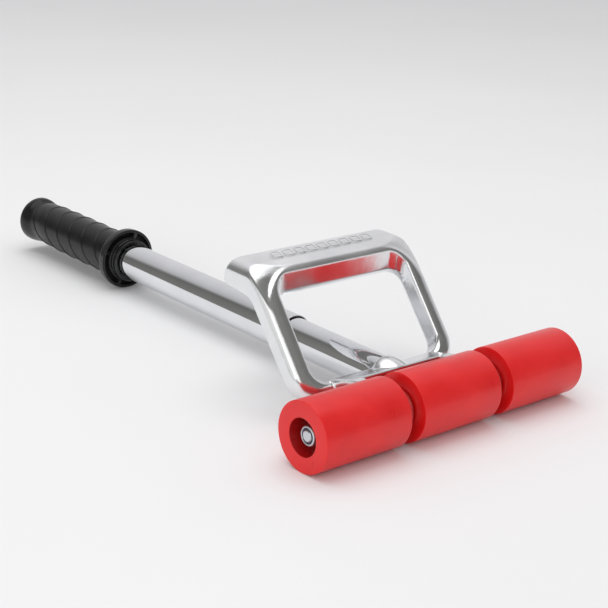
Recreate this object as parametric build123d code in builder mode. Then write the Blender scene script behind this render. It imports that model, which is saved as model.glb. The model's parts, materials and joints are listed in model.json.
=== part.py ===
"""Extendable floor roller: three rollers on one axle, a cast D-handle and a telescoping tube.

Frame: +X along the roller axle, +Y from the rollers to the grip, +Z up.
The origin is the middle of the footprint, on the floor. Lengths are in millimetres.
"""
from build123d import *
from math import cos, radians, sin
import os

os.makedirs("parts", exist_ok=True)

# ---------------------------------------------------------------- driving dimensions
OVERALL_LENGTH = 431.8            # rollers' front to grip's end, pushed together
ROLLER_R = 19.05
ROLLER_LENGTH = 57.15
ROLLER_GAP = 9.525
ROLLER_BORE_R = 7.6
COUNTERBORE_R = 10.1
COUNTERBORE_DEPTH = 12.0          # outer ends, room for the nut
RECESS_DEPTH = 1.0                # the other ends

BEARING_R = 9.525                 # 1/4 x 3/4 x 9/32 inch deep groove ball bearing
BEARING_BORE_R = 3.2
BEARING_WIDTH = 7.14
INNER_RACE_R = 5.3
OUTER_RACE_BORE_R = 7.4
BALL_R = 1.7
BALL_COUNT = 8
SHIELD_THICKNESS = 0.4
AXLE_R = 3.175
AXLE_STICKOUT = 0.35
WASHER_R = 5.2
NUT_WASHER_R = 6.3
NUT_WASHER_THICKNESS = 1.2
NUT_DEPTH = 3.0                   # nut's face below the roller's end
NUT_ACROSS_FLATS = 11.1
NUT_HEX_HEIGHT = 5.8
NUT_COLLAR_R = 5.45
INSERT_R = 4.15
INSERT_DEPTH = 1.8

TUBE_TILT = 0.65                  # degrees; the guard rests on the floor
TUBE_DROP = 2.32                  # tube's axis below the axle
INNER_TUBE_R = 10.6
INNER_TUBE_BORE_R = 9.6
OUTER_TUBE_R = 11.9
OUTER_TUBE_BORE_R = 11.0
MOUTH_BORE_R = 11.4
INNER_TUBE_START = 35.5           # stations along the tube, counted from the axle
INNER_TUBE_END = 384.0
OUTER_TUBE_START = 119.9
OUTER_TUBE_END = 408.0
BUSH_START = 120.7
BUSH_END = 134.7
HUB_START = 289.0
GUARD_START = 295.5
GUARD_END = 300.5
GRIP_END = OVERALL_LENGTH - ROLLER_R - 0.15
FIT = 0.02                        # radial gap of fixed fits
RUNNING = 0.05                    # radial gap of running fits

LOCK_OFFSET = 0.8                 # eccentricity of the locking cam
LOCK_CLEARANCE = 0.45             # cam to tube wall when unlocked
NECK_R = 8.0
POST_R = 3.5
NECK_START = 386.0
POST_START = 389.0
POST_END = 399.0

HANDLE_LEAN = 52.4                # degrees, front plane of the D-handle above the floor
HANDLE_FRONT = (47.3, 7.2)        # a point of that plane, back and up from the axle
HANDLE_HALF_WIDTH = 59.5
OPENING_HALF_WIDTH = 48.0
OPENING_BOTTOM = -4.6             # along the arms, from HANDLE_FRONT
OPENING_CORNER_R = 10.0
INNER_EDGE_R = 1.8
LEG_THICKNESS = 8.0
LEG_R = 11.5
BASE_Z = -11.5                    # underside of the casting's lower bar, from the axle
PALM_MARK_COUNT = 9
PALM_MARK_PITCH = 8.4
PALM_MARK_WIDTH = 6.6
PALM_MARK_LENGTH = 6.4
PALM_MARK_STROKE = 0.9
PALM_MARK_HEIGHT = 0.35
PALM_MARK_PLACE = 13.5            # back from the palm bar's front edge

# ---------------------------------------------------------------- derived places
AXLE_Y = -(OVERALL_LENGTH / 2 - ROLLER_R)
AXLE_Z = ROLLER_R
ROLLER_PITCH = ROLLER_LENGTH + ROLLER_GAP
LEG_X = ROLLER_PITCH / 2
LEG_INNER_X = LEG_X - LEG_THICKNESS / 2
LEG_OUTER_X = LEG_X + LEG_THICKNESS / 2
END_X = ROLLER_PITCH + ROLLER_LENGTH / 2
TILT = radians(TUBE_TILT)
LEAN = radians(HANDLE_LEAN)
BALL_PITCH_R = (INNER_RACE_R + OUTER_RACE_BORE_R) / 2

# bearings' low ends along X, one pair for each roller
MIDDLE_BEARING = ROLLER_LENGTH / 2 - RECESS_DEPTH
GAP_BEARING = ROLLER_PITCH - ROLLER_LENGTH / 2 + RECESS_DEPTH
OUTER_BEARING = END_X - COUNTERBORE_DEPTH
BEARINGS = {
    "left": (-OUTER_BEARING, -GAP_BEARING - BEARING_WIDTH),
    "middle": (-MIDDLE_BEARING, MIDDLE_BEARING - BEARING_WIDTH),
    "right": (GAP_BEARING, OUTER_BEARING - BEARING_WIDTH),
}


def save(piece, name):
    """Label a finished piece and write it out."""
    piece.part.label = name
    export_step(piece.part, f"parts/{name}.step")


def across(x):
    """Plane square to the axle at x: sketch x runs back and sketch y runs up from the axle."""
    return Plane(origin=(x, AXLE_Y, AXLE_Z), x_dir=(0, 1, 0), z_dir=(1, 0, 0))


def along(station, lift=0.0):
    """Plane square to the tube: its normal points to the grip and its y points down."""
    direction = Vector(0, cos(TILT), sin(TILT))
    up = Vector(0, -sin(TILT), cos(TILT))
    start = Vector(0, AXLE_Y, AXLE_Z - TUBE_DROP)
    return Plane(origin=start + direction * station + up * lift, x_dir=(1, 0, 0), z_dir=direction)


def leaning(depth):
    """Plane parallel to the D-handle's front plane: y runs up the arms, the normal to the front."""
    y = AXLE_Y + HANDLE_FRONT[0] - depth * sin(LEAN)
    z = AXLE_Z + HANDLE_FRONT[1] + depth * cos(LEAN)
    return Plane(origin=(0, y, z), x_dir=(1, 0, 0), z_dir=(0, -sin(LEAN), cos(LEAN)))


TUBE_PROFILE = Plane(origin=along(0).origin, x_dir=along(0).z_dir, z_dir=(-1, 0, 0))


def arm_place(edge):
    """An edge's centre as (across, up the arm, ahead of the front plane)."""
    centre = edge.center()
    back = centre.Y - AXLE_Y - HANDLE_FRONT[0]
    up = centre.Z - AXLE_Z - HANDLE_FRONT[1]
    return centre.X, back * cos(LEAN) + up * sin(LEAN), up * cos(LEAN) - back * sin(LEAN)


# ---------------------------------------------------------------- handle casting
PALM_FRONT = (85.4, 56.7)
PALM_REAR = (109.0, 61.2)
WEB_FRONT = (28.9, 7.8)
WEB_REAR = (44.5, 3.6)
WEB_UNDER_Z = -4.0
LEG_TOP = (1.5, 11.4)
SOCKET_R = 12.5
SOCKET_START = 29.5
SOCKET_END = 54.0
DOME_R = 11.8
DOME_END = 42.8
SET_SCREW_STATION = 47.0
SET_SCREW_R = 2.5

# corners of the arms and palm bar seen from the side, each with its rounding radius
SIDE_PROFILE = [((38.0, -4.9), 6.0), (PALM_FRONT, 1.6), (PALM_REAR, 6.0), ((113.4, 43.6), 3.0),
                ((89.3, 41.2), 12.0), ((47.4, BASE_Z), 5.0)]
# the outline and the hand opening change with depth: (depth, top, corner radius), (depth, top)
OUTLINE_BOTTOM = -15.3
OUTLINES = [(12, 63.0, 27), (0.6, 63.5, 27), (-6, 68.9, 9), (-34, 91.6, 9)]
OPENINGS = [(12, 72.5), (-8, 50.0), (-34, 50.0)]

with BuildPart() as handle:
    with BuildSketch(across(-HANDLE_HALF_WIDTH)):
        with BuildLine():
            FilletPolyline(*[corner for corner, _ in SIDE_PROFILE],
                           radius=[radius for _, radius in SIDE_PROFILE], close=True)
        make_face()
    extrude(amount=2 * HANDLE_HALF_WIDTH)
    for depth, top, corner_r in OUTLINES:
        with BuildSketch(leaning(depth)):
            with BuildLine():
                FilletPolyline((-HANDLE_HALF_WIDTH, OUTLINE_BOTTOM), (-HANDLE_HALF_WIDTH, top),
                               (HANDLE_HALF_WIDTH, top), (HANDLE_HALF_WIDTH, OUTLINE_BOTTOM), close=True,
                               radius=[18, corner_r, corner_r, 18])
            make_face()
    loft(ruled=True, mode=Mode.INTERSECT)
    for depth, top in OPENINGS:
        with BuildSketch(leaning(depth)):
            with Locations((0, (top + OPENING_BOTTOM) / 2)):
                RectangleRounded(2 * OPENING_HALF_WIDTH, top - OPENING_BOTTOM, OPENING_CORNER_R)
    loft(ruled=True, mode=Mode.SUBTRACT)

    hand_edges = []
    for edge in handle.edges():
        x, up, ahead = arm_place(edge)
        at_front_or_back = -0.1 < ahead < 0.6 or -14.6 < ahead < -11.4
        if abs(x) < 48.1 and -4.65 < up < 59.1 and at_front_or_back and edge.length > 2:
            hand_edges.append(edge)
    fillet(hand_edges, INNER_EDGE_R)

    # web between the legs, the two legs and their axle eyes
    with BuildSketch(across(-LEG_INNER_X)):
        with BuildLine():
            Polyline(WEB_FRONT, WEB_REAR, (46.0, WEB_UNDER_Z), (WEB_FRONT[0], WEB_UNDER_Z), close=True)
        make_face()
    extrude(amount=2 * LEG_INNER_X)
    for x in (-LEG_OUTER_X, LEG_INNER_X):
        with BuildSketch(across(x)):
            Circle(LEG_R)
            with BuildLine():
                Polyline(LEG_TOP, WEB_FRONT, WEB_REAR, (45.0, BASE_Z), (0, -LEG_R), close=True)
            make_face()
        extrude(amount=LEG_THICKNESS)

    # tube socket: a full saddle below, a dome that runs out into the web above
    with BuildSketch(along(SOCKET_START)):
        Circle(SOCKET_R)
        with Locations((0, -SOCKET_R)):
            Rectangle(2 * SOCKET_R, 2 * SOCKET_R, mode=Mode.SUBTRACT)
    extrude(amount=SOCKET_END - SOCKET_START)
    with BuildSketch(TUBE_PROFILE):
        with BuildLine():
            dome = Spline((SOCKET_START, 9.6), (34.5, 11.2), (DOME_END, DOME_R))
            Polyline(dome @ 1, (DOME_END, 0), (SOCKET_START, 0), dome @ 0)
        make_face()
    revolve(axis=Axis(along(0).origin, along(0).z_dir))

    # machined holes
    with BuildSketch(along(INNER_TUBE_START)):
        Circle(INNER_TUBE_R + FIT)
    extrude(amount=60, mode=Mode.SUBTRACT)
    with BuildSketch(across(-LEG_OUTER_X - 1)):
        Circle(AXLE_R + FIT)
    extrude(amount=2 * LEG_OUTER_X + 2, mode=Mode.SUBTRACT)
    screw_plane = Plane(origin=along(SET_SCREW_STATION).origin, z_dir=(0, 0, -1))
    with BuildSketch(screw_plane):
        Circle(SET_SCREW_R + FIT)
    extrude(amount=30, mode=Mode.SUBTRACT)
save(handle, "handle_casting")

# plain raised frames on the palm bar
palm_slope = Vector(0, PALM_REAR[0] - PALM_FRONT[0], PALM_REAR[1] - PALM_FRONT[1]).normalized()
palm_normal = Vector(0, -palm_slope.Z, palm_slope.Y)
palm_start = Vector(0, AXLE_Y + PALM_FRONT[0], AXLE_Z + PALM_FRONT[1])
mark_plane = Plane(origin=palm_start + palm_slope * PALM_MARK_PLACE, x_dir=(1, 0, 0), z_dir=palm_normal)
with BuildPart() as palm_marks:
    with BuildSketch(mark_plane):
        with GridLocations(PALM_MARK_PITCH, 1, PALM_MARK_COUNT, 1):
            RectangleRounded(PALM_MARK_WIDTH, PALM_MARK_LENGTH, 1.4)
            RectangleRounded(PALM_MARK_WIDTH - 2 * PALM_MARK_STROKE, PALM_MARK_LENGTH - 2 * PALM_MARK_STROKE,
                             0.6, mode=Mode.SUBTRACT)
    extrude(amount=PALM_MARK_HEIGHT)
save(palm_marks, "palm_marks")


# ---------------------------------------------------------------- rollers and bearings
def roller(name, centre, low_depth, high_depth):
    """One roller; low_depth and high_depth say how far in its two bearings sit."""
    low = centre - ROLLER_LENGTH / 2
    with BuildPart() as piece:
        with BuildSketch(across(low)):
            Circle(ROLLER_R)
        extrude(amount=ROLLER_LENGTH)
        fillet(piece.edges().filter_by(GeomType.CIRCLE), 0.7)
        with BuildSketch(across(low)):
            Circle(ROLLER_BORE_R)
        extrude(amount=ROLLER_LENGTH, mode=Mode.SUBTRACT)
        for depth, plane in ((low_depth, across(low)), (high_depth, across(low + ROLLER_LENGTH))):
            inward = 1 if plane.origin.X < centre else -1
            with BuildSketch(plane):
                Circle(BEARING_R + FIT)
            extrude(amount=inward * (depth + BEARING_WIDTH), mode=Mode.SUBTRACT)
            with BuildSketch(plane):
                Circle(COUNTERBORE_R)
            extrude(amount=inward * depth, mode=Mode.SUBTRACT)
    save(piece, name)


roller("roller_left", -ROLLER_PITCH, COUNTERBORE_DEPTH, RECESS_DEPTH)
roller("roller_middle", 0.0, RECESS_DEPTH, RECESS_DEPTH)
roller("roller_right", ROLLER_PITCH, RECESS_DEPTH, COUNTERBORE_DEPTH)


def race(x, outer_r, inner_r):
    """A bearing race with its ball groove, as a loose solid."""
    with BuildPart() as piece:
        with BuildSketch(across(x)):
            Circle(outer_r)
            Circle(inner_r, mode=Mode.SUBTRACT)
        extrude(amount=BEARING_WIDTH)
        with BuildSketch(Plane(origin=(x + BEARING_WIDTH / 2, AXLE_Y, AXLE_Z), x_dir=(1, 0, 0),
                               z_dir=(0, -1, 0))):
            with Locations((0, BALL_PITCH_R)):
                Circle(BALL_R + RUNNING)
        revolve(axis=Axis((x, AXLE_Y, AXLE_Z), (1, 0, 0)), mode=Mode.SUBTRACT)
    return piece.part


with BuildPart() as inner_races:
    for pair in BEARINGS.values():
        for x in pair:
            add(race(x, INNER_RACE_R, BEARING_BORE_R))
save(inner_races, "bearing_inner_races")

for side, pair in BEARINGS.items():
    with BuildPart() as outer_races:
        for x in pair:
            add(race(x, BEARING_R, OUTER_RACE_BORE_R))
    save(outer_races, f"bearing_outer_races_{side}")

    with BuildPart() as balls:
        for x in pair:
            middle = Plane(origin=(x + BEARING_WIDTH / 2, AXLE_Y, AXLE_Z), x_dir=(0, 1, 0), z_dir=(1, 0, 0))
            with Locations(middle):
                with PolarLocations(BALL_PITCH_R, BALL_COUNT):
                    Sphere(BALL_R)
    save(balls, f"bearing_balls_{side}")

    shields = []
    for x in pair:
        shields += [x + 0.15, x + BEARING_WIDTH - SHIELD_THICKNESS - 0.15]
    with BuildPart() as bearing_shields:
        for x in shields:
            with BuildSketch(across(x)):
                Circle(OUTER_RACE_BORE_R - FIT)
                Circle(INNER_RACE_R + 0.15, mode=Mode.SUBTRACT)
            extrude(amount=SHIELD_THICKNESS)
    save(bearing_shields, f"bearing_shields_{side}")


# ---------------------------------------------------------------- axle and its hardware
NUT_FACE = END_X - NUT_DEPTH
NUT_BACK = OUTER_BEARING + NUT_WASHER_THICKNESS

with BuildPart() as axle:
    with BuildSketch(across(-NUT_FACE - AXLE_STICKOUT)):
        Circle(AXLE_R)
    extrude(amount=2 * (NUT_FACE + AXLE_STICKOUT))
    chamfer(axle.edges().filter_by(GeomType.CIRCLE), 0.5)
save(axle, "axle_rod")

with BuildPart() as spacers:
    for low, high in BEARINGS.values():
        with BuildSketch(across(low + BEARING_WIDTH)):
            Circle(AXLE_R + 1.4)
            Circle(AXLE_R + RUNNING, mode=Mode.SUBTRACT)
        extrude(amount=high - low - BEARING_WIDTH)
save(spacers, "bearing_spacers")

with BuildPart() as leg_washers:
    for x in (-GAP_BEARING, -LEG_INNER_X, MIDDLE_BEARING, LEG_OUTER_X):
        with BuildSketch(across(x)):
            Circle(WASHER_R)
            Circle(AXLE_R + RUNNING, mode=Mode.SUBTRACT)
        extrude(amount=LEG_INNER_X - MIDDLE_BEARING)
save(leg_washers, "leg_washers")

with BuildPart() as nut_washers:
    for x in (-NUT_BACK, OUTER_BEARING):
        with BuildSketch(across(x)):
            Circle(NUT_WASHER_R)
            Circle(AXLE_R + RUNNING, mode=Mode.SUBTRACT)
        extrude(amount=NUT_WASHER_THICKNESS)
save(nut_washers, "nut_washers")

with BuildPart() as lock_nuts:
    for direction in (-1, 1):
        with BuildSketch(across(direction * NUT_BACK)):
            RegularPolygon(NUT_ACROSS_FLATS / 2, 6, major_radius=False)
        extrude(amount=direction * NUT_HEX_HEIGHT)
        with BuildSketch(across(direction * NUT_BACK)):
            Circle(NUT_COLLAR_R)
        extrude(amount=direction * (NUT_FACE - NUT_BACK))
        with BuildSketch(across(direction * NUT_FACE)):
            Circle(INSERT_R)
        extrude(amount=-direction * INSERT_DEPTH, mode=Mode.SUBTRACT)
        with BuildSketch(across(direction * NUT_BACK)):
            Circle(AXLE_R + FIT)
        extrude(amount=direction * 10, mode=Mode.SUBTRACT)
save(lock_nuts, "lock_nuts")

with BuildPart() as nut_inserts:
    for direction in (-1, 1):
        with BuildSketch(across(direction * (NUT_FACE - INSERT_DEPTH))):
            Circle(INSERT_R - FIT)
            Circle(AXLE_R + FIT, mode=Mode.SUBTRACT)
        extrude(amount=direction * (INSERT_DEPTH - 0.3))
save(nut_inserts, "nut_inserts")


# ---------------------------------------------------------------- inner tube and its fixing
def disc(station, radius, length, lift=0.0):
    """A loose disc on the tube's axis, or on a line just above it."""
    with BuildPart() as piece:
        with BuildSketch(along(station, lift)):
            Circle(radius)
        extrude(amount=length)
    return piece.part


with BuildPart() as inner_tube:
    add(disc(INNER_TUBE_START, INNER_TUBE_R, INNER_TUBE_END - INNER_TUBE_START))
    add(disc(INNER_TUBE_START, INNER_TUBE_BORE_R, INNER_TUBE_END - INNER_TUBE_START), mode=Mode.SUBTRACT)
    with BuildSketch(screw_plane):
        Circle(SET_SCREW_R + FIT)
    extrude(amount=20, mode=Mode.SUBTRACT)
save(inner_tube, "inner_tube")

with BuildPart() as set_screw:
    with BuildSketch(screw_plane.offset(INNER_TUBE_BORE_R - 1.0)):
        Circle(SET_SCREW_R)
    extrude(amount=4.4)
    with BuildSketch(screw_plane.offset(INNER_TUBE_BORE_R + 3.4)):
        RegularPolygon(1.25, 6, major_radius=False)
    extrude(amount=-2.2, mode=Mode.SUBTRACT)
save(set_screw, "tube_set_screw")

# ---------------------------------------------------------------- twist lock
with BuildPart() as lock_plug:
    add(disc(INNER_TUBE_END - 14, INNER_TUBE_BORE_R - FIT, 14))
    add(disc(INNER_TUBE_END, INNER_TUBE_R, NECK_START - INNER_TUBE_END))
    add(disc(NECK_START, NECK_R, POST_START - NECK_START))
    add(disc(POST_START, POST_R, POST_END - POST_START, LOCK_OFFSET))
    add(disc(POST_END - 8, 1.5 + FIT, 8, LOCK_OFFSET), mode=Mode.SUBTRACT)
save(lock_plug, "lock_plug")

PEG_R = 1.0
PEG_RADIUS = 9.4
PEG_LENGTH = 2.0
SLOT_WIDTH = 3.2
with BuildPart() as drag_ring:
    with BuildSketch(along(NECK_START + 0.2)):
        Circle(OUTER_TUBE_BORE_R - RUNNING)
        Circle(NECK_R + RUNNING, mode=Mode.SUBTRACT)
    extrude(amount=POST_START - NECK_START - 0.4)
    with BuildSketch(along(POST_START - 0.3)):
        with Locations((0, PEG_RADIUS)):
            Circle(PEG_R)
    extrude(amount=PEG_LENGTH + 0.1)
save(drag_ring, "drag_ring")

CAM_START = POST_START + 0.2
CAM_END = POST_END - 0.2
with BuildPart() as lock_cam:
    add(disc(CAM_START, OUTER_TUBE_BORE_R - LOCK_CLEARANCE, CAM_END - CAM_START))
    add(disc(CAM_START, POST_R + RUNNING, CAM_END - CAM_START, LOCK_OFFSET), mode=Mode.SUBTRACT)
    with BuildSketch(along(CAM_START)):
        with Locations((0, PEG_RADIUS)):
            Rectangle(SLOT_WIDTH, 4.4)
    extrude(amount=PEG_LENGTH + 0.4, mode=Mode.SUBTRACT)
save(lock_cam, "lock_cam")

with BuildPart() as cam_screw:
    add(disc(POST_END, 5.4, 2.2, LOCK_OFFSET))
    add(disc(POST_END - 7, 1.5, 7, LOCK_OFFSET))
    with BuildSketch(along(POST_END + 2.2, LOCK_OFFSET)):
        Rectangle(6.5, 1.2)
    extrude(amount=-1.0, mode=Mode.SUBTRACT)
save(cam_screw, "cam_screw")

# ---------------------------------------------------------------- outer tube
with BuildPart() as outer_tube:
    add(disc(OUTER_TUBE_START, OUTER_TUBE_R, OUTER_TUBE_END - OUTER_TUBE_START))
    fillet(outer_tube.edges().sort_by(Axis.Y)[0], 0.4)
    add(disc(OUTER_TUBE_START, OUTER_TUBE_BORE_R, OUTER_TUBE_END - OUTER_TUBE_START), mode=Mode.SUBTRACT)
    add(disc(OUTER_TUBE_START, MOUTH_BORE_R, BUSH_END - OUTER_TUBE_START), mode=Mode.SUBTRACT)
save(outer_tube, "outer_tube")

with BuildPart() as guide_bush:
    add(disc(BUSH_START, MOUTH_BORE_R - FIT, BUSH_END - BUSH_START))
    add(disc(BUSH_START, INNER_TUBE_R + RUNNING, BUSH_END - BUSH_START), mode=Mode.SUBTRACT)
save(guide_bush, "guide_bush")

with BuildPart() as end_plug:
    add(disc(OUTER_TUBE_END - 4.5, OUTER_TUBE_BORE_R - FIT, 4.5))
    add(disc(OUTER_TUBE_END, OUTER_TUBE_R, 1.2))
save(end_plug, "end_plug")

# ---------------------------------------------------------------- guard and grip
RIM_ROUNDING = 0.8
RIM_R = (AXLE_Z - TUBE_DROP + (GUARD_START + RIM_ROUNDING) * sin(TILT)) / cos(TILT)
HUB_R = 14.2
POCKET_INNER_R = 14.8
POCKET_OUTER_R = 18.3
POCKET_DEPTH = 3.6
GUARD_RIB_WIDTH = 2.4
GUARD_RIB_ANGLES = (22, 112, 202, 292)

with BuildPart() as guard:
    add(disc(GUARD_START, RIM_R, GUARD_END - GUARD_START))
    fillet(guard.edges().filter_by(GeomType.CIRCLE), RIM_ROUNDING)
    add(disc(HUB_START, HUB_R, GUARD_END - HUB_START))
    fillet(guard.edges().filter_by(GeomType.CIRCLE).sort_by(Axis.Y)[0], 1.0)
    with BuildSketch(along(GUARD_START)):
        Circle(POCKET_OUTER_R)
        Circle(POCKET_INNER_R, mode=Mode.SUBTRACT)
        for angle in GUARD_RIB_ANGLES:
            with PolarLocations(POCKET_OUTER_R - 2, 1, start_angle=angle):
                Rectangle(8, GUARD_RIB_WIDTH, mode=Mode.SUBTRACT)
    extrude(amount=POCKET_DEPTH, mode=Mode.SUBTRACT)
    add(disc(HUB_START, OUTER_TUBE_R + FIT, GUARD_END - HUB_START), mode=Mode.SUBTRACT)
    add(disc(HUB_START, OUTER_TUBE_R + 0.9, 1.5), mode=Mode.SUBTRACT)
save(guard, "grip_guard")

GRIP_START = GUARD_END + 0.2
GRIP_R = 14.9
NECK_STATION = 399.0
RIDGE_FIRST = 313.0
RIDGE_PITCH = 16.2
RIDGE_COUNT = 6
RIDGE_LEAN = 28.0
GROOVE_WIDTH = 1.3
GROOVE_DEPTH = 0.7


def slanted_groove(station):
    """A loose ring that cuts one groove, leaning back at the top like the grip's ridges."""
    lean = radians(TUBE_TILT + RIDGE_LEAN)
    plane = Plane(origin=along(station).origin, x_dir=(1, 0, 0), z_dir=(0, cos(lean), -sin(lean)))
    inner_r = GRIP_R - GROOVE_DEPTH
    with BuildPart() as piece:
        with BuildSketch(plane):
            Circle(25)
            Ellipse(inner_r, inner_r / cos(radians(RIDGE_LEAN)), mode=Mode.SUBTRACT)
        extrude(amount=GROOVE_WIDTH, dir=along(0).z_dir)
    return piece.part


with BuildPart() as grip:
    with BuildSketch(TUBE_PROFILE):
        with BuildLine():
            Polyline((GRIP_START, 0), (GRIP_START, 14.5), (GRIP_START + 6, GRIP_R), (385.0, GRIP_R))
            back = Spline((385.0, GRIP_R), (NECK_STATION, 14.3), (409.0, 15.9), (GRIP_END, 14.0),
                          tangents=((1, 0), (0, -1)))
            Polyline(back @ 1, (GRIP_END, 0), (GRIP_START, 0))
        make_face()
    revolve(axis=Axis(along(0).origin, along(0).z_dir))
    for index in range(RIDGE_COUNT):
        add(slanted_groove(RIDGE_FIRST + index * RIDGE_PITCH), mode=Mode.SUBTRACT)
    add(disc(GRIP_START, OUTER_TUBE_R + FIT, OUTER_TUBE_END + 1.3 - GRIP_START), mode=Mode.SUBTRACT)
save(grip, "grip_sleeve")
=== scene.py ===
"""Looks of the extendable floor roller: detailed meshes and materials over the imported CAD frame."""
import json
from math import cos, hypot, pi, radians, sin, tan

import bmesh
import bpy
from mathutils import Matrix, Vector


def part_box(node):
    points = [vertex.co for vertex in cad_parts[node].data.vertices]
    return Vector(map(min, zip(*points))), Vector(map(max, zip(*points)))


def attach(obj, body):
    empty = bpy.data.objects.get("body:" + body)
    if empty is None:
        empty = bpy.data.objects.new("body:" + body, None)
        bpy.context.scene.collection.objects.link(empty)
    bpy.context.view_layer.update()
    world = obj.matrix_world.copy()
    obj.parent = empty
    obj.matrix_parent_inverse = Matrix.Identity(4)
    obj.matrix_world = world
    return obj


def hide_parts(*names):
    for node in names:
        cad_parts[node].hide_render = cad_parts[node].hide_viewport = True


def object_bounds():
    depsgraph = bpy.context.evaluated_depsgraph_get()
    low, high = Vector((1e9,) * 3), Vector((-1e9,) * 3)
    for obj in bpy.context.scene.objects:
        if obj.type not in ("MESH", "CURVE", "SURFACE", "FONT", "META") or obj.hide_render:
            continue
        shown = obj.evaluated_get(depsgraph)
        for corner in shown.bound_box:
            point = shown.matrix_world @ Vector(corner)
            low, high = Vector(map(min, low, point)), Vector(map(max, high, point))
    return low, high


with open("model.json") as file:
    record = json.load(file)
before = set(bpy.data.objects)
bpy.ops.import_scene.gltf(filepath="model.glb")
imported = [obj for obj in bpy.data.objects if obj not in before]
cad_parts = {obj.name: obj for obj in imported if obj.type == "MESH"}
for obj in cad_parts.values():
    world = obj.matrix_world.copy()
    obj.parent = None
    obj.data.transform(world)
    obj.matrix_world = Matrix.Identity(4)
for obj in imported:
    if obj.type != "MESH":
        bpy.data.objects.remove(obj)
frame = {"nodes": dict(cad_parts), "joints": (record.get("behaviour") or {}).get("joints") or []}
cad_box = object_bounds()
MM = 0.001
X, Z = 0, 2

# ------------------------------------------------------------------ places read from the frame
joints = {joint["name"]: joint for joint in frame["joints"]}
TUBE_ORIGIN = Vector(joints["grip_twist"]["pos_m"])
TUBE_AXIS = Vector(joints["grip_twist"]["axis"]).normalized()
roller_low, roller_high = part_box("roller_middle")
AXLE = (roller_low + roller_high) / 2
FLOOR_Z = cad_box[0][2]
PALM_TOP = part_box("handle_casting")[1].z


def station(node, end):
    """How far along the tube a node's low (0) or high (1) end is, in millimetres."""
    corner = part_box(node)[end]
    return (corner.y - TUBE_ORIGIN.y) / TUBE_AXIS.y / MM


def half_size(node, axis):
    """Half a node's size along one axis, in millimetres: the radius of a round piece."""
    low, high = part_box(node)
    return (high[axis] - low[axis]) / 2 / MM


# ------------------------------------------------------------------ sizes in millimetres
# A size ending in START or END is a station, a distance along the tube from its joint.
ROLLER_R = half_size("roller_middle", Z)
COUNTERBORE_R = 10.1
COUNTERBORE_DEPTH = 12.0    # the outer ends of the outer rollers, room for the nut
RECESS_DEPTH = 1.0          # the other ends
BEARING_SEAT_R = 9.545
BEARING_WIDTH = 7.14
ROLLER_BORE_R = 7.6

AXLE_R = half_size("axle_rod", Z)
HEX_FLAT = half_size("lock_nuts", Z)
HEX_BLANK_R = 6.4           # the hexagon's corners are turned down to this
HEX_FACE_R = 5.6
HEX_HEIGHT = 5.8
NUT_COLLAR_R = 5.45
NUT_LENGTH = 7.8
INSERT_R = half_size("nut_inserts", Z)
INSERT_DEPTH = 1.8
NUT_FIT = 0.02              # gap from the nut to its insert and to the axle

INNER_TUBE_R = 10.6
INNER_TUBE_BORE_R = 9.6
INNER_TUBE_START = 35.5
INNER_TUBE_END = station("inner_tube", 1)
OUTER_TUBE_R = 11.9
OUTER_TUBE_BORE_R = 11.0
OUTER_TUBE_START = 119.9
OUTER_TUBE_END = 408.0
MOUTH_BORE_R = 11.4         # the tube's mouth, which holds the guide bush
BUSH_END = 134.7

SLEEVE_BORE_R = 11.92       # the guard and the grip, where they slip over the outer tube
HUB_START = 289.0
HUB_R = 14.2
HUB_NECK_R = 12.7
HUB_GROOVE_START = 292.6
GUARD_START = 295.5
GUARD_END = 300.5
RIM_R = half_size("grip_guard", X) - 0.01
RING_GROOVE_R = 19.2        # a fine groove in the rim's face
POCKET_INNER_R = 14.8
POCKET_OUTER_R = 18.4
POCKET_DEPTH = 3.6
RIB_HALF = 1.2
RIB_EDGE = 0.35
RIB_ANGLES = [radians(angle) for angle in (22, 112, 202, 292)]

GRIP_R = 14.55
GRIP_START = 300.7
GRIP_END = 412.5
FLARE_END = 411.3           # where the flared end starts to round over
FLARE_R = 15.2
DISH_R = 9.0                # the shallow dish in the end face
DISH_DEPTH = 0.8
END_WALL = 3.2
RIDGE_START = 313.0
RIDGE_PITCH = 16.2
RIDGE_RISE = 8.5            # how far the ridges lean along the grip, from its side to its top


# ------------------------------------------------------------------ shape functions
def smooth(x, low, high):
    """0 below low, 1 above high, and a smooth step between."""
    t = min(max((x - low) / (high - low), 0), 1)
    return t * t * (3 - 2 * t)


def peak(x, middle, half):
    """1 at the middle, falling evenly to 0 at half a width away."""
    return max(0.0, 1 - abs(x - middle) / half)


def rounded(points, closed=True, steps=4):
    """A profile from (along, radius, rounding) corners, each corner turned into a small arc."""
    result = []
    count = len(points)
    for index, (along, radius, rounding) in enumerate(points):
        here = Vector((along, radius))
        if rounding == 0 or (not closed and index in (0, count - 1)):
            result.append(here)
            continue
        before = Vector(points[index - 1][:2]) - here
        after = Vector(points[(index + 1) % count][:2]) - here
        half = before.angle(after) / 2
        reach = min(rounding / tan(half), before.length * 0.49, after.length * 0.49)
        start = here + before.normalized() * reach
        stop = here + after.normalized() * reach
        for step in range(steps + 1):
            t = step / steps
            result.append(start * (1 - t) ** 2 + here * 2 * t * (1 - t) + stop * t ** 2)
    return result


# ------------------------------------------------------------------ mesh helpers
def placed(name, data):
    """A new object in the scene."""
    thing = bpy.data.objects.new(name, data)
    bpy.context.scene.collection.objects.link(thing)
    return thing


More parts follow.
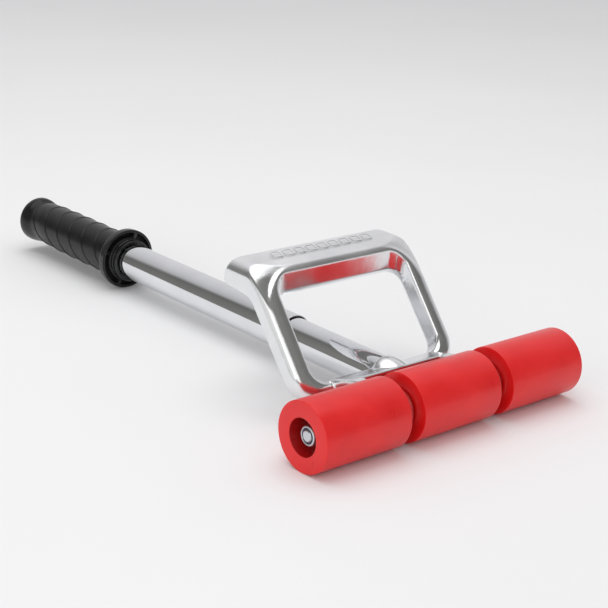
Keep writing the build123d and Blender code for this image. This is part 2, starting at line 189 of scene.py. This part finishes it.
def turned(name, profile, origin, axis, segments, shape=None, sharp=40):
    """A piece turned from a closed profile of (along, radius) points in millimetres.

    shape(along, radius, angle) may move a point. Edges over the sharp angle, in degrees, stay crisp.
    """
    axis = Vector(axis).normalized()
    right = Vector((0, 0, 1)).cross(axis).normalized()
    up = axis.cross(right)
    rows = len(profile)
    verts = []
    faces = []
    for column in range(segments):
        angle = 2 * pi * column / segments
        offset = right * cos(angle) + up * sin(angle)
        here = column * rows
        beside = (column + 1) % segments * rows
        for row, (along, radius) in enumerate(profile):
            if shape:
                along, radius = shape(along, radius, angle)
            verts.append(origin + (axis * along + offset * radius) * MM)
            after = (row + 1) % rows
            faces.append((here + row, beside + row, beside + after, here + after))
    mesh = bpy.data.meshes.new(name)
    mesh.from_pydata(verts, [], faces)
    mesh.update()
    work = bmesh.new()
    work.from_mesh(mesh)
    bmesh.ops.remove_doubles(work, verts=work.verts, dist=2e-7)
    bmesh.ops.recalc_face_normals(work, faces=work.faces)
    work.to_mesh(mesh)
    work.free()
    mesh.shade_smooth()
    mesh.set_sharp_from_angle(angle=radians(sharp))
    return placed(name, mesh)


def apply_modifiers(piece):
    """Put the mesh that a piece's modifiers make in place of its own."""
    graph = bpy.context.evaluated_depsgraph_get()
    piece.data = bpy.data.meshes.new_from_object(piece.evaluated_get(graph))
    piece.modifiers.clear()


def dress(piece, material, body, node):
    """Give a new piece its material and its body, and hide the CAD node it stands for."""
    piece.data.materials.clear()
    piece.data.materials.append(material)
    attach(piece, body)
    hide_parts(node)


# ------------------------------------------------------------------ material helpers
def fill_ramp(ramp, stops):
    """Give a colour ramp its (position, colour) stops."""
    while len(ramp.elements) < len(stops):
        ramp.elements.new(0.5)
    for element, (position, color) in zip(ramp.elements, stops):
        element.position = position
        element.color = (*color, 1)


class Nodes:
    """A small wrapper for building one material. Places and bump distances in it are in metres."""

    def __init__(self, name):
        self.material = bpy.data.materials.new(name)
        self.material.use_nodes = True
        self.tree = self.material.node_tree
        self.tree.nodes.clear()
        self.shader = self.new("ShaderNodeBsdfPrincipled")
        output = self.new("ShaderNodeOutputMaterial")
        self.link(self.shader.outputs["BSDF"], output.inputs["Surface"])
        self.place = self.new("ShaderNodeTexCoord").outputs["Object"]

    def new(self, kind, **settings):
        node = self.tree.nodes.new(kind)
        for key, value in settings.items():
            setattr(node, key, value)
        return node

    def link(self, source, target):
        self.tree.links.new(source, target)

    def set(self, **values):
        """Set uniform values on the shader's own sockets."""
        for key, value in values.items():
            self.shader.inputs[key.replace("_", " ")].default_value = value

    def coordinate(self, axis):
        """The place along X, Y or Z."""
        split = self.new("ShaderNodeSeparateXYZ")
        self.link(self.place, split.inputs["Vector"])
        return split.outputs[axis]

    def distance(self, centre, across):
        """Distance from a line through centre: across is 0 for the line's own axis and 1 for the others."""
        centred = self.new("ShaderNodeVectorMath", operation="SUBTRACT")
        self.link(self.place, centred.inputs[0])
        centred.inputs[1].default_value = centre
        flattened = self.new("ShaderNodeVectorMath", operation="MULTIPLY")
        self.link(centred.outputs["Vector"], flattened.inputs[0])
        flattened.inputs[1].default_value = across
        length = self.new("ShaderNodeVectorMath", operation="LENGTH")
        self.link(flattened.outputs["Vector"], length.inputs[0])
        return length.outputs["Value"]

    def noise(self, scale, detail=3.0, roughness=0.55, stretch=None):
        """Noise over the object, or over its space scaled by stretch."""
        where = self.place
        if stretch:
            mapping = self.new("ShaderNodeMapping")
            mapping.inputs["Scale"].default_value = stretch
            self.link(self.place, mapping.inputs["Vector"])
            where = mapping.outputs["Vector"]
        node = self.new("ShaderNodeTexNoise")
        self.link(where, node.inputs["Vector"])
        node.inputs["Scale"].default_value = scale
        node.inputs["Detail"].default_value = detail
        node.inputs["Roughness"].default_value = roughness
        return node.outputs["Fac"]

    def ramp(self, source, stops):
        """A colour ramp with (position, colour) stops."""
        node = self.new("ShaderNodeValToRGB")
        fill_ramp(node.color_ramp, stops)
        self.link(source, node.inputs["Fac"])
        return node.outputs["Color"]

    def dimmed(self, color, factor):
        """A colour multiplied by a factor."""
        node = self.new("ShaderNodeVectorMath", operation="SCALE")
        self.link(color, node.inputs[0])
        self.link(factor, node.inputs["Scale"])
        return node.outputs["Vector"]

    def span(self, source, low, high, start=0.3, stop=0.7):
        """A value that goes from low to high while the source goes from start to stop."""
        node = self.new("ShaderNodeMapRange")
        node.inputs["From Min"].default_value = start
        node.inputs["From Max"].default_value = stop
        node.inputs["To Min"].default_value = low
        node.inputs["To Max"].default_value = high
        self.link(source, node.inputs["Value"])
        return node.outputs["Result"]

    def math(self, operation, a, b):
        """Arithmetic on two inputs, each a number or a socket."""
        node = self.new("ShaderNodeMath", operation=operation)
        for socket, value in zip(node.inputs, (a, b)):
            if isinstance(value, (int, float)):
                socket.default_value = value
            else:
                self.link(value, socket)
        return node.outputs["Value"]

    def bump(self, height, strength, distance, below=None):
        """A normal bumped by height, on top of another bump if one is given."""
        node = self.new("ShaderNodeBump")
        node.inputs["Strength"].default_value = strength
        node.inputs["Distance"].default_value = distance
        self.link(height, node.inputs["Height"])
        if below:
            self.link(below, node.inputs["Normal"])
        return node.outputs["Normal"]

    def color(self, source):
        self.link(source, self.shader.inputs["Base Color"])

    def rough(self, source):
        self.link(source, self.shader.inputs["Roughness"])

    def normal(self, source):
        self.link(source, self.shader.inputs["Normal"])


# ------------------------------------------------------------------ materials
def red_polymer():
    """Turned cast polyurethane: even red, faint lathe lines round the roller, and painted shade darkening
    the red inside the bores.
    """
    m = Nodes("roller_red_polymer")
    m.set(IOR=1.5, Specular_IOR_Level=0.5)
    m.set(Subsurface_Weight=0.02, Subsurface_Scale=0.002, Subsurface_Radius=(1.0, 0.2, 0.15))
    cloud = m.noise(55, 4)
    red = m.ramp(cloud, [(0.25, (0.69, 0.005, 0.006)),
                         (0.55, (0.76, 0.008, 0.009)),
                         (0.8, (0.82, 0.014, 0.014))])
    # Painted shade: the red is dimmed inside the counterbores and bearing seats, by distance from the axle,
    # where shade falls in the recess.
    radius = m.distance((0, AXLE.y, AXLE.z), (0, 1, 1))
    painted_bore_shade = m.span(radius, 0.22, 1.0, (COUNTERBORE_R - 0.2) * MM, (COUNTERBORE_R + 0.3) * MM)
    m.color(m.dimmed(red, painted_bore_shade))
    lines = m.noise(1.0, 2, 0.6, stretch=(4200, 30, 30))
    mixed = m.math("ADD", m.math("MULTIPLY", cloud, 0.6), m.math("MULTIPLY", lines, 0.4))
    fleck = m.noise(700, 2, 0.7)
    m.rough(m.math("ADD", m.span(mixed, 0.26, 0.40), m.span(fleck, 0.0, 0.12, 0.62, 0.75)))
    grain = m.bump(m.noise(2600, 2), 0.25, 0.00008)
    m.normal(m.bump(lines, 0.35, 0.00006, grain))
    return m.material


def chrome_tube():
    """Bright chrome plating with a faint drawn grain along the tube."""
    m = Nodes("tube_chrome")
    m.set(Metallic=1.0)
    haze = m.noise(38, 3)
    m.color(m.ramp(haze, [(0.3, (0.78, 0.79, 0.81)), (0.7, (0.84, 0.85, 0.87))]))
    drawn = m.noise(1.0, 3, 0.6, stretch=(900, 12, 900))
    m.rough(m.span(m.math("MULTIPLY", haze, drawn), 0.035, 0.085, 0.15, 0.4))
    m.normal(m.bump(drawn, 0.06, 0.00004))
    return m.material


def cast_aluminium():
    """Polished casting: bright on the arms, a finer satin on top of the palm bar, small cast flaws."""
    m = Nodes("polished_casting")
    m.set(Metallic=1.0)
    cloud = m.noise(42, 5)
    m.color(m.ramp(cloud, [(0.3, (0.77, 0.78, 0.80)), (0.7, (0.87, 0.875, 0.885))]))
    satin = m.span(m.coordinate("Z"), 0.0, 0.2, PALM_TOP - 6 * MM, PALM_TOP - 3 * MM)
    m.rough(m.math("ADD", m.span(cloud, 0.13, 0.24), satin))
    grain = m.bump(m.noise(1400, 3, 0.65), 0.22, 0.00006)
    m.normal(m.bump(m.noise(120, 2), 0.22, 0.0004, grain))
    return m.material


def grip_rubber():
    """Matte black moulded rubber with a very fine skin and dusty high spots."""
    m = Nodes("grip_rubber")
    m.set(IOR=1.45, Specular_IOR_Level=0.42)
    cloud = m.noise(70, 4)
    m.color(m.ramp(cloud, [(0.3, (0.004, 0.004, 0.005)), (0.75, (0.009, 0.009, 0.010))]))
    m.rough(m.span(cloud, 0.24, 0.36))
    skin = m.bump(m.noise(3200, 2), 0.35, 0.00008)
    m.normal(m.bump(m.noise(260, 3), 0.12, 0.0002, skin))
    return m.material


def guard_plastic():
    """Glossier black moulding, duller down in the flange's pockets, with painted shade darkening them
    there.
    """
    m = Nodes("guard_plastic")
    m.set(IOR=1.5, Specular_IOR_Level=0.5)
    cloud = m.noise(90, 3)
    low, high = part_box("grip_guard")
    face = low.y + (GUARD_START - HUB_START) * MM
    behind_face = m.span(m.coordinate("Y"), 0.0, 1.0, face + 0.6 * MM, face + 1.4 * MM)
    radius = m.distance((0, 0, (low.z + high.z) / 2), (1, 0, 1))
    within = m.span(radius, 1.0, 0.0, (POCKET_OUTER_R - 0.1) * MM, (POCKET_OUTER_R + 0.3) * MM)
    # Painted shade: the pockets' colour is darkened where shade falls in them; the same mask also makes
    # them rougher.
    pocket_painted_shade_and_dullness = m.math("MULTIPLY", behind_face, within)
    black = m.ramp(cloud, [(0.3, (0.010, 0.010, 0.011)), (0.7, (0.019, 0.019, 0.020))])
    m.color(m.dimmed(black, m.math("SUBTRACT", 1.0, m.math("MULTIPLY", pocket_painted_shade_and_dullness, 0.85))))
    m.rough(m.math("ADD", m.span(cloud, 0.12, 0.22), m.math("MULTIPLY", pocket_painted_shade_and_dullness, 0.6)))
    m.normal(m.bump(m.noise(900, 2), 0.12, 0.00008))
    return m.material


def steel(name, light, rough_low, rough_high, grain_scale=1500):
    """Plated or ground steel with a fine tooled grain."""
    m = Nodes(name)
    m.set(Metallic=1.0)
    cloud = m.noise(160, 4)
    dark = tuple(channel * 0.82 for channel in light)
    m.color(m.ramp(cloud, [(0.3, dark), (0.7, light)]))
    m.rough(m.span(cloud, rough_low, rough_high))
    m.normal(m.bump(m.noise(grain_scale, 3), 0.2, 0.00006))
    return m.material


def moulded(name, low, high, rough_low, rough_high):
    """Plain moulded plastic with a slight mottle."""
    m = Nodes(name)
    cloud = m.noise(240, 3)
    m.color(m.ramp(cloud, [(0.3, low), (0.7, high)]))
    m.rough(m.span(cloud, rough_low, rough_high))
    m.normal(m.bump(m.noise(1800, 2), 0.2, 0.00006))
    return m.material


RED = red_polymer()
CHROME = chrome_tube()
CASTING = cast_aluminium()
RUBBER = grip_rubber()
GUARD = guard_plastic()
ZINC = steel("zinc_plated_steel", (0.74, 0.77, 0.81), 0.30, 0.46)
GROUND = steel("ground_bearing_steel", (0.62, 0.62, 0.64), 0.16, 0.28)
POLISHED = steel("polished_ball_steel", (0.80, 0.80, 0.82), 0.05, 0.10, 500)
NYLON = moulded("nut_nylon", (0.004, 0.007, 0.028), (0.008, 0.012, 0.045), 0.32, 0.45)
LOCK = moulded("lock_nylon", (0.06, 0.06, 0.065), (0.10, 0.10, 0.105), 0.40, 0.55)
ACETAL = moulded("black_acetal", (0.006, 0.006, 0.006), (0.014, 0.014, 0.014), 0.35, 0.50)

SIDES = ("left", "middle", "right")
CAD_MATERIALS = {
    ZINC: ["axle_rod", "bearing_spacers", "leg_washers", "nut_washers", "tube_set_screw", "cam_screw",
           "lock_nuts"],
    GROUND: (["bearing_inner_races"] + [f"bearing_outer_races_{side}" for side in SIDES]
             + [f"bearing_shields_{side}" for side in SIDES]),
    POLISHED: [f"bearing_balls_{side}" for side in SIDES],
    LOCK: ["lock_plug", "drag_ring", "lock_cam"],
    ACETAL: ["guide_bush", "end_plug"],
    NYLON: ["nut_inserts"],
    RED: [f"roller_{side}" for side in SIDES],
    CHROME: ["inner_tube", "outer_tube"],
    CASTING: ["handle_casting", "palm_marks"],
    RUBBER: ["grip_sleeve"],
    GUARD: ["grip_guard"],
}
for material, names in CAD_MATERIALS.items():
    for name in names:
        mesh = frame["nodes"][name].data
        mesh.materials.clear()
        mesh.materials.append(material)


# ------------------------------------------------------------------ rollers
def make_roller(side):
    """A roller with eased rims, a recess at each end and two bearing seats."""
    low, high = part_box(f"roller_{side}")
    length = (high.x - low.x) / MM
    first = COUNTERBORE_DEPTH if side == "left" else RECESS_DEPTH
    last = length - (COUNTERBORE_DEPTH if side == "right" else RECESS_DEPTH)
    corners = [
        (0, COUNTERBORE_R, 0.35), (0, ROLLER_R, 0.6),
        (length, ROLLER_R, 0.6), (length, COUNTERBORE_R, 0.35),
        (last, COUNTERBORE_R, 0.2), (last, BEARING_SEAT_R, 0.2),
        (last - BEARING_WIDTH, BEARING_SEAT_R, 0.2), (last - BEARING_WIDTH, ROLLER_BORE_R, 0.3),
        (first + BEARING_WIDTH, ROLLER_BORE_R, 0.3), (first + BEARING_WIDTH, BEARING_SEAT_R, 0.2),
        (first, BEARING_SEAT_R, 0.2), (first, COUNTERBORE_R, 0.2),
    ]
    origin = Vector((low.x, AXLE.y, AXLE.z))
    piece = turned(f"roller_{side}_turned", rounded(corners, steps=5), origin, (1, 0, 0), 160)
    dress(piece, RED, f"{side}_roller", f"roller_{side}")


for side in SIDES:
    make_roller(side)


# ------------------------------------------------------------------ lock nuts
def hexed(along, radius, angle):
    """Trim a turned nut blank to its six flats, below the collar only."""
    if 0.0 <= along <= HEX_HEIGHT + 0.01 and radius > HEX_FLAT - 0.6:
        turn = (angle + pi / 6) % (pi / 3) - pi / 6
        radius = min(radius, HEX_FLAT / cos(turn))
    return along, radius


def make_lock_nut(name, outer_end, direction):
    """A hexagon nut with a round collar that holds its nylon ring, pointing along direction in X."""
    thread = AXLE_R + NUT_FIT
    seat = INSERT_R + NUT_FIT
    profile = rounded([
        (0, thread, 0.3), (0, HEX_FACE_R, 0), (0.55, HEX_BLANK_R, 0),
        (HEX_HEIGHT - 0.75, HEX_BLANK_R, 0), (HEX_HEIGHT, NUT_COLLAR_R, 0.15),
        (NUT_LENGTH - 0.9, NUT_COLLAR_R, 0), (NUT_LENGTH - 0.25, NUT_COLLAR_R - 0.25, 0.4),
        (NUT_LENGTH, INSERT_R + 0.3, 0.3), (NUT_LENGTH - 0.35, seat, 0.1),
        (NUT_LENGTH - INSERT_DEPTH, seat, 0), (NUT_LENGTH - INSERT_DEPTH, thread, 0),
    ], steps=3)
    origin = Vector((outer_end - direction * NUT_LENGTH * MM, AXLE.y, AXLE.z))
    piece = turned(name, profile, origin, (direction, 0, 0), 180, hexed, sharp=28)
    dress(piece, ZINC, "frame", "lock_nuts")


nuts_low, nuts_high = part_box("lock_nuts")
make_lock_nut("lock_nut_left", nuts_low.x, -1)
make_lock_nut("lock_nut_right", nuts_high.x, 1)

# ------------------------------------------------------------------ tubes
inner_corners = [
    (INNER_TUBE_START, INNER_TUBE_BORE_R, 0.1), (INNER_TUBE_START, INNER_TUBE_R, 0.3),
    (INNER_TUBE_END, INNER_TUBE_R, 0.4), (INNER_TUBE_END, INNER_TUBE_BORE_R, 0.1),
]
inner_tube = turned("inner_tube_drawn", rounded(inner_corners), TUBE_ORIGIN, TUBE_AXIS, 160)
dress(inner_tube, CHROME, "frame", "inner_tube")

outer_corners = [
    (OUTER_TUBE_START, MOUTH_BORE_R, 0.15), (OUTER_TUBE_START, OUTER_TUBE_R, 0.38),
    (OUTER_TUBE_END, OUTER_TUBE_R, 0.2), (OUTER_TUBE_END, OUTER_TUBE_BORE_R, 0.1),
    (BUSH_END, OUTER_TUBE_BORE_R, 0.1), (BUSH_END, MOUTH_BORE_R, 0.1),
]
outer_tube = turned("outer_tube_drawn", rounded(outer_corners, steps=5), TUBE_ORIGIN, TUBE_AXIS, 160)
dress(outer_tube, CHROME, "grip", "outer_tube")

# ------------------------------------------------------------------ guard
# Added to the stations of the pocket's points, so that pocketed() can tell them apart.
POCKET_MARK = 1000


def pocketed(along, radius, angle):
    """Raise the pocket's floor nearly to the rim's face where a rib crosses it."""
    if along < POCKET_MARK:
        return along, radius
    along -= POCKET_MARK
    distance = min(abs(radius * sin(angle - rib)) for rib in RIB_ANGLES if cos(angle - rib) > 0)
    share = 1 - smooth(distance, RIB_HALF, RIB_HALF + RIB_EDGE)
    return along * (1 - share) + (GUARD_START + 0.25) * share, radius


def guard_profile():
    """The flange's section: a grooved hub, the pocket in its face and a rounded rim."""
    neck_start = HUB_START + 1.5
    hub = rounded([
        (neck_start, SLEEVE_BORE_R, 0), (neck_start, HUB_NECK_R, 0.2), (HUB_START, HUB_NECK_R + 0.2, 0.3),
        (HUB_START, HUB_R, 0.7), (HUB_GROOVE_START - 0.4, HUB_R, 0.2),
        (HUB_GROOVE_START, HUB_R - 0.3, 0.15), (HUB_GROOVE_START + 0.4, HUB_R, 0.2),
        (GUARD_START - 0.2, HUB_R, 0.3), (GUARD_START, POCKET_INNER_R, 0),
    ], closed=False)
    floor = POCKET_MARK + GUARD_START + POCKET_DEPTH
    inner_wall = [Vector((floor - POCKET_DEPTH * share, POCKET_INNER_R + 0.15 * (1 - share)))
                  for share in (0.7, 0.3, 0.05)]
    bottom = [Vector((floor, radius)) for radius in (15.1, 15.8, 16.6, 17.4, 18.0)]
    outer_wall = [Vector((floor - POCKET_DEPTH * share, POCKET_OUTER_R - 0.2 + 0.15 * share))
                  for share in (0.05, 0.3, 0.7)]
    rim = rounded([
        (GUARD_START, POCKET_OUTER_R, 0), (GUARD_START, RING_GROOVE_R - 0.3, 0.2),
        (GUARD_START + 0.3, RING_GROOVE_R, 0.2), (GUARD_START, RING_GROOVE_R + 0.3, 0.2),
        (GUARD_START, RIM_R, 0.9), (GUARD_END, RIM_R, 0.9),
        (GUARD_END, HUB_R - 0.2, 0.3), (GUARD_END, SLEEVE_BORE_R, 0),
    ], closed=False)
    return hub + inner_wall + bottom + outer_wall + rim


guard = turned("grip_guard_moulded", guard_profile(), TUBE_ORIGIN, TUBE_AXIS, 360, pocketed, sharp=50)
dress(guard, GUARD, "grip", "grip_guard")


# ------------------------------------------------------------------ grip
def ridge_phase(along):
    """Where a station is between two ridges, from 0 to 1."""
    return ((along - RIDGE_START) / RIDGE_PITCH) % 1.0


def grip_radius(along):
    """The grip's radius at its unslanted station: a waisted sleeve with overlapping ridges."""
    belly = 0.35 * sin(pi * min(max((along - 300) / 90, 0), 1))
    waist = 0.55 * smooth(along, 384, 398)
    flare = 1.75 * smooth(along, 399, 409.5)
    ridged = smooth(along, 305, 309) * (1 - smooth(along, 398, 402))
    phase = ridge_phase(along)
    swell = 0.16 * phase ** 1.6 - 0.05
    lip = 0.42 * peak(phase, 0.965, 0.035)
    groove = 0.45 * peak(phase, 0.02, 0.03)
    return GRIP_R + belly - waist + flare + ridged * (swell + lip - groove)


def slanted(along, radius, angle):
    """Lean the ridges back at the top, fading out at both ends of the grip."""
    share = smooth(along, GRIP_START, 312) * (1 - smooth(along, 392, 410))
    return along + RIDGE_RISE * sin(angle) * share, radius


def grip_profile():
    """The sleeve's section, with close stations at the ridges and wide ones between."""
    front = [Vector((GRIP_START, SLEEVE_BORE_R)), Vector((GRIP_START, 13.9)),
             Vector((GRIP_START + 0.25, 14.3))]
    side = []
    along = GRIP_START + 0.8
    while along < FLARE_END - 0.1:
        side.append(Vector((along, grip_radius(along))))
        phase = ridge_phase(along)
        along += 0.16 if phase > 0.9 or phase < 0.08 else 0.7
    end = rounded([
        (FLARE_END, grip_radius(FLARE_END), 0), (GRIP_END, FLARE_R, 1.1), (GRIP_END, DISH_R + 3, 1.0),
        (GRIP_END - DISH_DEPTH, DISH_R, 1.0), (GRIP_END - DISH_DEPTH, 0.01, 0),
    ], closed=False, steps=5)
    inside = [Vector((GRIP_END - END_WALL, 0.01)), Vector((GRIP_END - END_WALL, SLEEVE_BORE_R))]
    return front + side + end + inside


sleeve = turned("grip_sleeve_moulded", grip_profile(), TUBE_ORIGIN, TUBE_AXIS, 144, slanted, sharp=55)
dress(sleeve, RUBBER, "grip", "grip_sleeve")

# ------------------------------------------------------------------ casting
# The handle's front is a leaning plane. A place on it is (x, up), and ahead is the distance before it.
LEAN = radians(52.4)
FRONT = AXLE + Vector((0, 47.3, 7.2)) * MM
ARM_UP = Vector((0, cos(LEAN), sin(LEAN)))
ARM_AHEAD = Vector((0, -sin(LEAN), cos(LEAN)))
HALF_WIDTH = 59.5
OUTLINE_BOTTOM = -15.3
BOTTOM_CORNER = 18.0
SECTIONS = ((0.6, 63.5, 27.0), (-6.0, 68.9, 9.0), (-34.0, 91.6, 9.0))   # (ahead, top edge, top corner)
OPENING_HALF_WIDTH = 48.0
OPENING_BOTTOM = -4.6
OPENING_CORNER = 10.0
# Radii of the quarter rounds along the front's outer and inner edges.
SIDE_ROLL = 6.5
TOP_ROLL = 2.6
BOTTOM_ROLL = 9.0
OPENING_SIDE_ROLL = 2.2
OPENING_BOTTOM_ROLL = 3.6
# The middle of the lower bar carries the legs and the socket, and its edges stay as they are.
WEB_HALF_WIDTH = 38.0
WEB_TOP = 20.0
# The opening's edge is rolled along its sides, below its upper corners, and round its lower corners.
INNER_EDGE_X = 40.0
INNER_EDGE_TOP = 48.0
LOWER_CORNER_TOP = -3.0
# The outer faces of the arms are eased more than the rest, from the first of these x to the second.
EASED_FACES = (50.5, 54.0)


def top_edge(ahead):
    """The outline's top edge and top corner radius at a depth."""
    front, middle, back = SECTIONS
    first, second = (front, middle) if ahead > middle[0] else (middle, back)
    share = (first[0] - ahead) / (first[0] - second[0])
    return [start + (stop - start) * share for start, stop in zip(first[1:], second[1:])]


def outline(x, up, ahead):
    """Depth inside the handle's outline and the outline's outward direction there."""
    toward_x = 1 if x > 0 else -1
    if up < OUTLINE_BOTTOM + BOTTOM_CORNER:
        toward_up = -1
        corner = BOTTOM_CORNER
        reach_up = OUTLINE_BOTTOM + corner - up
    else:
        toward_up = 1
        top, corner = top_edge(ahead)
        reach_up = up - (top - corner)
    reach_x = abs(x) - (HALF_WIDTH - corner)
    if reach_x > 0 and reach_up > 0:
        far = hypot(reach_x, reach_up)
        return corner - far, toward_x * reach_x / far, toward_up * reach_up / far
    if reach_x > reach_up:
        return corner - reach_x, toward_x, 0
    return corner - reach_up, 0, toward_up


def opening(x, up):
    """Distance out from the hand opening's lower outline and the direction away from it."""
    toward_x = 1 if x > 0 else -1
    past_x = abs(x) - (OPENING_HALF_WIDTH - OPENING_CORNER)
    past_low = OPENING_BOTTOM + OPENING_CORNER - up
    if past_x > 0 and past_low > 0:
        far = hypot(past_x, past_low)
        return far - OPENING_CORNER, toward_x * past_x / far, -past_low / far
    if past_low > 0:
        return past_low - OPENING_CORNER, 0, -1
    return past_x - OPENING_CORNER, toward_x, 0


def roll_edge(vertex, roll, inside, ahead, across_part, up_part):
    """Pull a vertex onto a quarter round between the front plane and a side, facing (across, up)."""
    side_in, front_in = roll - inside, roll + ahead
    if side_in <= 0 or front_in <= 0:
        return
    far = hypot(side_in, front_in)
    if far > roll:
        pull = (1 - roll / far) * MM
        vertex.co.x -= across_part * side_in * pull
        vertex.co -= (ARM_UP * up_part * side_in + ARM_AHEAD * front_in) * pull


def roll_front_edges(vertex):
    """Round the casting at a vertex, if it is near the front's outer or inner edge."""
    offset = (vertex.co - FRONT) / MM
    ahead = offset.dot(ARM_AHEAD)
    up = offset.dot(ARM_UP)
    x = vertex.co.x / MM
    if ahead < -BOTTOM_ROLL or (abs(x) < WEB_HALF_WIDTH and up < WEB_TOP):
        return
    inside, across_part, up_part = outline(x, up, ahead)
    end_roll = TOP_ROLL if up_part > 0 else BOTTOM_ROLL
    roll = end_roll + (SIDE_ROLL - end_roll) * abs(across_part)
    roll_edge(vertex, roll, inside, ahead, across_part, up_part)
    lower_corner = abs(x) > WEB_HALF_WIDTH and up < LOWER_CORNER_TOP
    if up < INNER_EDGE_TOP and (abs(x) > INNER_EDGE_X or lower_corner):
        inside, across_part, up_part = opening(x, up)
        roll = OPENING_SIDE_ROLL + (OPENING_BOTTOM_ROLL - OPENING_SIDE_ROLL) * abs(up_part)
        roll_edge(vertex, roll, inside, ahead, -across_part, -up_part)


def ease(piece, name, rounds, group=""):
    """Smooth a piece, or one of its vertex groups, by a number of rounds."""
    modifier = piece.modifiers.new(name, "SMOOTH")
    modifier.factor = 0.5
    modifier.iterations = rounds
    modifier.vertex_group = group


casting = placed("handle_casting_polished", frame["nodes"]["handle_casting"].data.copy())
remesh = casting.modifiers.new("remesh", "REMESH")
remesh.mode = "VOXEL"
remesh.voxel_size = 0.0006
remesh.use_smooth_shade = True
apply_modifiers(casting)
outer_faces = casting.vertex_groups.new(name="outer_faces")
for vertex in casting.data.vertices:
    roll_front_edges(vertex)
    share = smooth(abs(vertex.co.x) / MM, *EASED_FACES)
    if share > 0:
        outer_faces.add([vertex.index], share, "REPLACE")
ease(casting, "ease", 6)
ease(casting, "ease_outside", 16, outer_faces.name)
apply_modifiers(casting)
casting.data.shade_smooth()
dress(casting, CASTING, "frame", "handle_casting")


# ------------------------------------------------------------------ stage and light
def make_floor(reach):
    """A wide sheet of pale paper under the object, reaching this many metres each way."""
    square = ((-1, -1), (1, -1), (1, 1), (-1, 1))
    mesh = bpy.data.meshes.new("floor")
    mesh.from_pydata([(x * reach, y * reach, FLOOR_Z) for x, y in square], [], [(0, 1, 2, 3)])
    paper = Nodes("floor_paper")
    paper.color(paper.ramp(paper.noise(3, 3), [(0.3, (0.86, 0.86, 0.865)), (0.7, (0.88, 0.88, 0.885))]))
    paper.set(Roughness=0.75, Specular_IOR_Level=0.2)
    mesh.materials.append(paper.material)
    placed("floor", mesh)


def plain_background(tree, color):
    """A background of one colour."""
    node = tree.nodes.new("ShaderNodeBackground")
    node.inputs["Color"].default_value = (*color, 1)
    return node.outputs["Background"]


def studio_background(tree):
    """What the metal mirrors: a dark side and a light side with a soft edge between."""
    coordinate = tree.nodes.new("ShaderNodeTexCoord")
    toward_light = tree.nodes.new("ShaderNodeVectorMath")
    toward_light.operation = "DOT_PRODUCT"
    toward_light.inputs[1].default_value = Vector((0.65, 0.70, 0.30)).normalized()
    tree.links.new(coordinate.outputs["Generated"], toward_light.inputs[0])
    warm, cool = (1, 0.99, 0.94), (1, 0.99, 1.01)
    shades = ((0.0, 0.22, warm), (0.36, 0.15, warm),
              (0.50, 0.50, cool), (0.72, 0.64, cool), (1.0, 0.74, cool))
    ramp = tree.nodes.new("ShaderNodeValToRGB")
    fill_ramp(ramp.color_ramp, [(position, [value * channel for channel in tint])
                                for position, value, tint in shades])
    tree.links.new(toward_light.outputs["Value"], ramp.inputs["Fac"])
    node = tree.nodes.new("ShaderNodeBackground")
    tree.links.new(ramp.outputs["Color"], node.inputs["Color"])
    return node.outputs["Background"]


def for_rays(tree, kind, chosen, otherwise):
    """One shader for a kind of ray and another for the rest."""
    path = tree.nodes.new("ShaderNodeLightPath")
    mix = tree.nodes.new("ShaderNodeMixShader")
    tree.links.new(path.outputs[kind], mix.inputs["Fac"])
    tree.links.new(otherwise, mix.inputs[1])
    tree.links.new(chosen, mix.inputs[2])
    return mix.outputs["Shader"]


def make_world():
    """Pale where it is seen directly, an even grey for diffuse light, and the studio for reflections."""
    world = bpy.data.worlds.new("studio")
    bpy.context.scene.world = world
    world.use_nodes = True
    tree = world.node_tree
    tree.nodes.clear()
    pale = plain_background(tree, (0.92, 0.92, 0.925))
    soft = plain_background(tree, (0.68, 0.68, 0.685))
    lit = for_rays(tree, "Is Diffuse Ray", soft, studio_background(tree))
    output = tree.nodes.new("ShaderNodeOutputWorld")
    tree.links.new(for_rays(tree, "Is Camera Ray", pale, lit), output.inputs["Surface"])


def softbox(name, place, target, width, height, power):
    """A rectangular area light aimed at a point, in metres and watts."""
    light = bpy.data.lights.new(name, "AREA")
    light.shape = "RECTANGLE"
    light.size = width
    light.size_y = height
    light.energy = power
    lamp = placed(name, light)
    lamp.location = place
    lamp.rotation_euler = (Vector(target) - Vector(place)).to_track_quat("-Z", "Y").to_euler()


make_floor(6.0)
make_world()
softbox("overhead", (0.0, 0.1, 1.5), (0, 0, 0), 1.4, 1.4, 9)
softbox("left_fill", (-1.3, -1.0, 0.8), (0, -0.1, 0.04), 1.2, 0.9, 3.5)
softbox("left_card", (-1.5, -0.1, 0.45), (0, -0.1, 0.04), 1.3, 0.8, 1.9)

# ------------------------------------------------------------------ camera
# The view is given about the axle and then tipped round it, with the tool, onto the level floor.
AZIMUTH = radians(-40.335)
ELEVATION = radians(15.900)
TIP = Matrix.Rotation(radians(-3.405), 3, "X")
EYE = Vector((-531.46, -515.01, 260.65))

back = Vector((sin(AZIMUTH) * cos(ELEVATION), -cos(AZIMUTH) * cos(ELEVATION), sin(ELEVATION)))
right = Vector((0, 0, 1)).cross(back).normalized()
above = back.cross(right)
turn = Matrix((TIP @ right, TIP @ above, TIP @ back)).transposed().to_4x4()
camera_data = bpy.data.cameras.new("camera")
camera_data.sensor_width = 36.0
camera_data.lens = 86.7677
camera_data.clip_start = 0.01
camera = placed("camera", camera_data)
camera.matrix_world = Matrix.Translation(AXLE + TIP @ EYE * MM) @ turn
bpy.context.scene.camera = camera
bpy.context.scene.view_settings.view_transform = "Standard"
